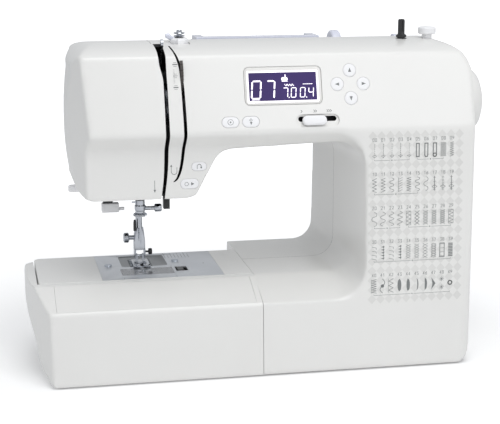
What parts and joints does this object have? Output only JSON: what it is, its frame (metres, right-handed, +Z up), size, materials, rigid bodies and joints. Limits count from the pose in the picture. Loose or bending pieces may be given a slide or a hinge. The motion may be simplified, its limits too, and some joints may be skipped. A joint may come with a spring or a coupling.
{
  "type": "sewing machine",
  "caption": "Computerised free-arm sewing machine with digital display, stitch chart, handwheel and a removable extension table that holds an accessory box.",
  "frame": {"origin": "centre of the bounding box's bottom face, on the surface the machine stands on", "axes": "+X towards the handwheel, -Y towards the operator, +Z up"},
  "size_m": [0.413, 0.178, 0.297],
  "materials": {
    "shell_white": "satin gloss",
    "dark_plastic": "matte",
    "steel": "brushed",
    "chrome": "polished",
    "cast_alloy": "as cast",
    "rubber": "matte",
    "belt_rubber": "matte",
    "lens_clear": "clear",
    "display_violet": "lit",
    "board_green": "solder mask",
    "motor_metal": "painted",
    "bobbin_clear": "clear",
    "key_white": "satin",
    "spool_white": "satin"
  },
  "bodies": {
    "root": {"front_cover": "shell_white", "rear_cover": "shell_white", "face_cover": "shell_white", "bottom_plate": "dark_plastic", "free_arm_cover": "shell_white", "main_frame": "cast_alloy", "needle_plate": "steel", "fasteners": "steel", "bobbin_holder": "dark_plastic", "display_window": "lens_clear", "display_module": "display_violet", "circuit_boards": "board_green", "lamp": "lens_clear", "stepper_motors": "steel", "main_motor": "motor_metal", "thread_guides": "steel", "power_sockets": "dark_plastic", "rubber_feet": "rubber", "drive_belts": "belt_rubber", "presser_spring": "chrome", "spool_pin": "spool_white"},
    "upper_shaft": {"arm_shaft": "steel", "handwheel": "shell_white"},
    "rod": {"connecting_rod": "steel"},
    "lower_shaft": {"lower_shaft": "steel"},
    "hook": {"rotary_hook": "steel"},
    "motor_rotor": {"motor_pulley": "steel"},
    "swing": {"swing_frame": "cast_alloy"},
    "needle_bar": {"needle_bar": "chrome", "needle_clamp": "chrome", "needle": "chrome"},
    "take_up": {"take_up_lever": "chrome"},
    "lifter": {"presser_lifter": "dark_plastic"},
    "presser": {"presser_bar": "chrome", "foot_holder": "chrome"},
    "foot": {"presser_foot": "chrome"},
    "threader": {"needle_threader": "key_white"},
    "buttonhole": {"buttonhole_lever": "key_white"},
    "feed": {"feed_dog": "steel"},
    "bobbin": {"bobbin": "bobbin_clear"},
    "winder": {"winder_spindle": "dark_plastic"},
    "stopper": {"winder_stopper": "spool_white"},
    "handle": {"carry_handle": "shell_white"},
    "spool_cap": {"spool_cap": "spool_white"},
    "up_key": {"up_key": "key_white"},
    "down_key": {"down_key": "key_white"},
    "left_key": {"left_key": "key_white"},
    "right_key": {"right_key": "key_white"},
    "needle_key": {"needle_key": "key_white"},
    "lock_key": {"lock_key": "key_white"},
    "reverse_key": {"reverse_key": "key_white"},
    "start_key": {"start_key": "key_white"},
    "speed_slider": {"speed_slider": "key_white"},
    "tension_dial": {"tension_dial": "key_white"},
    "table": {"extension_table": "shell_white"},
    "lid": {"table_lid": "shell_white"},
    "hook_cover": {"hook_cover": "lens_clear"},
    "cover_release": {"cover_release": "dark_plastic"},
    "switch": {"power_switch": "dark_plastic"},
    "drop_feed": {"drop_feed_lever": "dark_plastic"}
  },
  "joints": [
    {"name": "arm_shaft_spin", "type": "hinge", "parent": "root", "child": "upper_shaft", "pos_m": [0, 0.004, 0.221], "axis": [1, 0, 0], "continuous": true},
    {"name": "rod_swing", "type": "hinge", "parent": "upper_shaft", "child": "rod", "pos_m": [-0.086, 0.004, 0.2365], "axis": [1, 0, 0], "continuous": true},
    {"name": "lower_shaft_spin", "type": "hinge", "parent": "root", "child": "lower_shaft", "pos_m": [0, 0.003, 0.046], "axis": [1, 0, 0], "continuous": true},
    {"name": "hook_spin", "type": "hinge", "parent": "root", "child": "hook", "pos_m": [-0.101, -0.014, 0.06], "axis": [0, 0, 1], "continuous": true},
    {"name": "motor_spin", "type": "hinge", "parent": "root", "child": "motor_rotor", "pos_m": [0.155, -0.038, 0.044], "axis": [1, 0, 0], "continuous": true},
    {"name": "needle_swing", "type": "hinge", "parent": "root", "child": "swing", "pos_m": [-0.104, 0.004, 0.252], "axis": [0, 1, 0], "range_deg": [-1.3, 1.3]},
    {"name": "needle_bar_slide", "type": "slide", "parent": "swing", "child": "needle_bar", "axis": [0, 0, -1], "range_m": [0, 0.031]},
    {"name": "take_up_swing", "type": "hinge", "parent": "root", "child": "take_up", "pos_m": [-0.09, -0.011, 0.228], "axis": [1, 0, 0], "range_deg": [0, 60]},
    {"name": "lifter_turn", "type": "hinge", "parent": "root", "child": "lifter", "pos_m": [-0.084, 0.022, 0.163], "axis": [1, 0, 0], "range_deg": [0, 70]},
    {"name": "presser_lift", "type": "slide", "parent": "root", "child": "presser", "axis": [0, 0, 1], "range_m": [0, 0.006], "deforming": ["presser_spring"]},
    {"name": "foot_tilt", "type": "hinge", "parent": "presser", "child": "foot", "pos_m": [-0.104, 0.013, 0.087], "axis": [1, 0, 0], "range_deg": [-8, 0]},
    {"name": "threader_slide", "type": "slide", "parent": "root", "child": "threader", "axis": [0, 0, -1], "range_m": [0, 0.022], "stiffness_N_per_m": 20, "springref_m": -0.01},
    {"name": "buttonhole_slide", "type": "slide", "parent": "root", "child": "buttonhole", "axis": [0, 0, -1], "range_m": [0, 0.03]},
    {"name": "feed_slide", "type": "slide", "parent": "root", "child": "feed", "axis": [0, 1, 0], "range_m": [-0.0025, 0.0025]},
    {"name": "bobbin_spin", "type": "hinge", "parent": "root", "child": "bobbin", "pos_m": [-0.101, -0.014, 0.067], "axis": [0, 0, 1], "continuous": true},
    {"name": "winder_spin", "type": "hinge", "parent": "root", "child": "winder", "pos_m": [0.126, -0.02, 0.28], "axis": [0, 0, 1], "continuous": true},
    {"name": "stopper_turn", "type": "hinge", "parent": "root", "child": "stopper", "pos_m": [0.1495, -0.02, 0.28], "axis": [0, 0, 1], "range_deg": [-90, 90]},
    {"name": "handle_lift", "type": "hinge", "parent": "root", "child": "handle", "pos_m": [0, 0.047, 0.271], "axis": [-1, 0, 0], "range_deg": [0, 88]},
    {"name": "spool_cap_slide", "type": "slide", "parent": "root", "child": "spool_cap", "axis": [-1, 0, 0], "range_m": [0, 0.006]},
    {"name": "up_press", "type": "slide", "parent": "root", "child": "up_key", "axis": [0, 0.9598, -0.2807], "range_m": [0, 0.001], "stiffness_N_per_m": 250, "springref_m": -0.002},
    {"name": "down_press", "type": "slide", "parent": "root", "child": "down_key", "axis": [0, 0.9598, -0.2807], "range_m": [0, 0.001], "stiffness_N_per_m": 250, "springref_m": -0.002},
    {"name": "left_press", "type": "slide", "parent": "root", "child": "left_key", "axis": [0, 0.9598, -0.2807], "range_m": [0, 0.001], "stiffness_N_per_m": 250, "springref_m": -0.002},
    {"name": "right_press", "type": "slide", "parent": "root", "child": "right_key", "axis": [0, 0.9598, -0.2807], "range_m": [0, 0.001], "stiffness_N_per_m": 250, "springref_m": -0.002},
    {"name": "needle_press", "type": "slide", "parent": "root", "child": "needle_key", "axis": [0, 0.9598, -0.2807], "range_m": [0, 0.001], "stiffness_N_per_m": 250, "springref_m": -0.002},
    {"name": "lock_press", "type": "slide", "parent": "root", "child": "lock_key", "axis": [0, 0.9598, -0.2807], "range_m": [0, 0.001], "stiffness_N_per_m": 250, "springref_m": -0.002},
    {"name": "reverse_press", "type": "slide", "parent": "root", "child": "reverse_key", "axis": [0, 1, 0], "range_m": [0, 0.001], "stiffness_N_per_m": 250, "springref_m": -0.002},
    {"name": "start_press", "type": "slide", "parent": "root", "child": "start_key", "axis": [0, 1, 0], "range_m": [0, 0.001], "stiffness_N_per_m": 250, "springref_m": -0.002},
    {"name": "speed_slide", "type": "slide", "parent": "root", "child": "speed_slider", "axis": [1, 0, 0], "range_m": [-0.01, 0.011]},
    {"name": "tension_turn", "type": "hinge", "parent": "root", "child": "tension_dial", "pos_m": [-0.076, -0.047, 0.2555], "axis": [1, 0, 0], "range_deg": [-120, 120]},
    {"name": "table_slide", "type": "slide", "parent": "root", "child": "table", "axis": [-1, 0, 0], "range_m": [0, 0.195]},
    {"name": "lid_open", "type": "hinge", "parent": "table", "child": "lid", "pos_m": [-0.1, -0.0824, 0.0644], "axis": [1, 0, 0], "range_deg": [0, 75]},
    {"name": "hook_cover_lift", "type": "slide", "parent": "root", "child": "hook_cover", "axis": [0, 0, 1], "range_m": [0, 0.02]},
    {"name": "cover_release_slide", "type": "slide", "parent": "root", "child": "cover_release", "axis": [1, 0, 0], "range_m": [0, 0.003], "stiffness_N_per_m": 150, "springref_m": -0.002},
    {"name": "switch_rock", "type": "hinge", "parent": "root", "child": "switch", "pos_m": [0.173, 0.035, 0.0445], "axis": [0, 0, 1], "range_deg": [-7, 7]},
    {"name": "drop_feed_slide", "type": "slide", "parent": "root", "child": "drop_feed", "axis": [1, 0, 0], "range_m": [0, 0.01]}
  ],
  "couplings": [
    {"joint": "rod_swing", "follows": "arm_shaft_spin", "ratio": -1},
    {"joint": "lower_shaft_spin", "follows": "arm_shaft_spin", "ratio": 1},
    {"joint": "hook_spin", "follows": "arm_shaft_spin", "ratio": 2},
    {"joint": "motor_spin", "follows": "arm_shaft_spin", "ratio": 3.5},
    {"joint": "lifter_turn", "follows": "presser_lift", "rad_per_m": 203.6}
  ]
}
